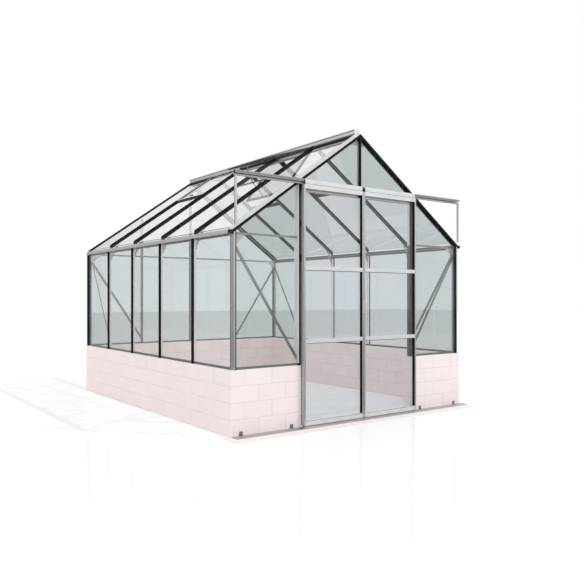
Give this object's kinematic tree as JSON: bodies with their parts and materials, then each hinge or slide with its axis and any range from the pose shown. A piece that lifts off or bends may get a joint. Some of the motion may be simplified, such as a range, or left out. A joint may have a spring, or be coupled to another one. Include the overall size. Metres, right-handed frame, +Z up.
{
  "type": "glass greenhouse",
  "caption": "Gable-roofed aluminium and glass greenhouse on a low pink block wall, with two sliding front doors and roof vents, one of them held open.",
  "frame": {"origin": "on the ground, under the middle of the footprint", "axes": "+X to the right of someone facing the doors, +Y from the doors into the house, +Z up"},
  "size_m": [3.21, 3.94, 2.9627],
  "materials": {
    "aluminium": "mill, satin",
    "pink_block": "matt fired clay blocks",
    "black_rubber": "matt",
    "glass": "clear float glass",
    "black_plastic": "matt"
  },
  "bodies": {
    "house": {"wall_sills": "aluminium", "corner_posts": "aluminium", "left_wall_bars": "aluminium", "right_wall_bars": "aluminium", "rear_gable_posts": "aluminium", "door_header": "aluminium", "front_gable_posts": "aluminium", "left_gutter": "aluminium", "right_gutter": "aluminium", "gable_rafters": "aluminium", "left_roof_bars": "aluminium", "right_roof_bars": "aluminium", "ridge_beam": "aluminium", "tie_bars": "aluminium", "braces": "aluminium", "gusset_plates": "aluminium", "vent_sills": "aluminium", "closed_vent_frames": "aluminium", "open_vent_frame": "aluminium", "vent_stay": "aluminium", "top_track": "aluminium", "track_end_rods": "aluminium", "bottom_rail": "aluminium", "rail_brackets": "aluminium", "left_wall": "pink_block", "right_wall": "pink_block", "rear_wall": "pink_block", "front_wall_left": "pink_block", "front_wall_right": "pink_block", "door_kerb": "pink_block", "wall_seals": "black_rubber", "gable_seals": "black_rubber", "rafter_gaskets": "black_rubber", "roof_seals": "black_rubber", "left_wall_glass": "glass", "right_wall_glass": "glass", "front_gable_glass": "glass", "rear_gable_glass": "glass", "left_roof_glass": "glass", "right_roof_glass": "glass", "vent_glass": "glass", "gutter_end_caps": "black_plastic"},
    "left_door": {"left_door_stiles": "aluminium", "left_door_rails": "aluminium", "left_door_glass": "glass", "left_door_seals": "black_rubber", "left_door_handle": "aluminium", "left_door_rollers": "black_plastic"},
    "right_door": {"right_door_stiles": "aluminium", "right_door_rails": "aluminium", "right_door_glass": "glass", "right_door_seals": "black_rubber", "right_door_handle": "aluminium", "right_door_rollers": "black_plastic"}
  },
  "joints": [
    {"name": "left_door_slide", "type": "slide", "parent": "house", "child": "left_door", "axis": [-1, 0, 0], "range_m": [0, 0.72]},
    {"name": "right_door_slide", "type": "slide", "parent": "house", "child": "right_door", "axis": [1, 0, 0], "range_m": [0, 0.72]}
  ]
}
